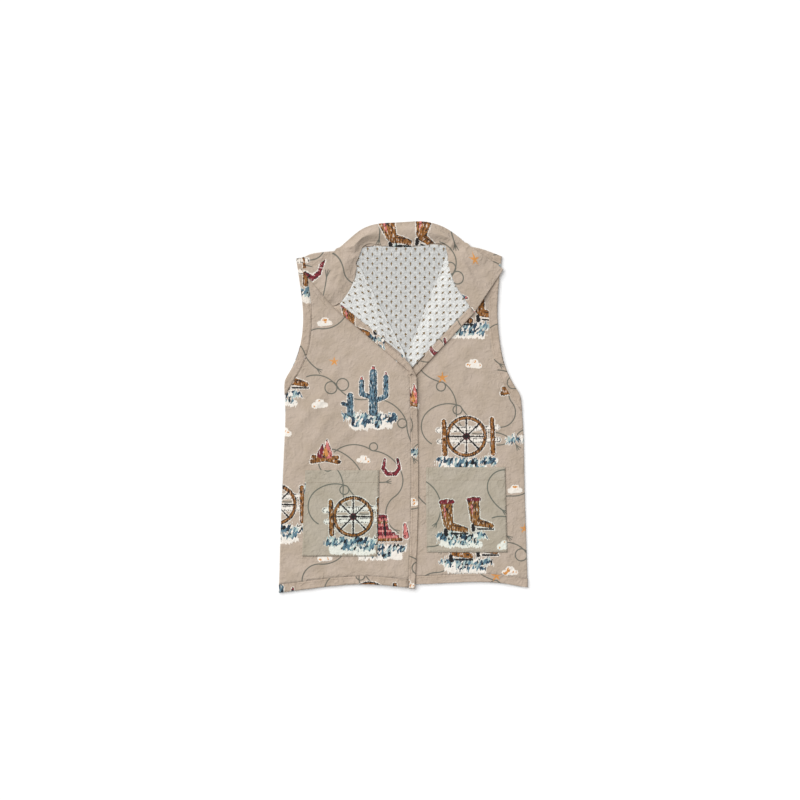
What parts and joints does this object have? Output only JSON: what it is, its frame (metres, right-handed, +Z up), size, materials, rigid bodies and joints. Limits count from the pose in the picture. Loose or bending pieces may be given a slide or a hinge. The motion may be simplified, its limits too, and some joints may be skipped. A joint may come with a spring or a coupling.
{
  "type": "western vest",
  "caption": "Sleeveless lined vest with a turned-down collar, folded-back lapels, patch pockets and edge bands, laid flat with its front up.",
  "frame": {"origin": "bottom centre of the bounding box, on the table under the middle of the back", "axes": "+X across the vest towards the wearer's left, +Y from the hem to the neck, +Z up from the table"},
  "size_m": [0.4972, 0.744, 0.0153],
  "materials": {
    "printed_plain_weave": "plain-weave cotton with a printed western pattern on a tan ground, matt",
    "lining_plain_weave": "white plain-weave cotton printed with small sprigs, matt",
    "printed_band": "the same printed cotton folded into a flat band and pressed, matt"
  },
  "bodies": {
    "root": {"back": "printed_plain_weave", "back_lining": "lining_plain_weave", "front_right": "printed_plain_weave", "front_right_lining": "lining_plain_weave", "front_left": "printed_plain_weave", "front_left_lining": "lining_plain_weave", "collar": "printed_plain_weave", "pocket_right": "printed_plain_weave", "pocket_left": "printed_plain_weave", "armhole_band_right_front": "printed_band", "armhole_band_right_back": "printed_band", "armhole_band_left_front": "printed_band", "armhole_band_left_back": "printed_band", "front_band_right": "printed_band", "front_band_left": "printed_band", "hem_band_back": "printed_band", "hem_band_right": "printed_band", "hem_band_left": "printed_band"}
  },
  "joints": []
}
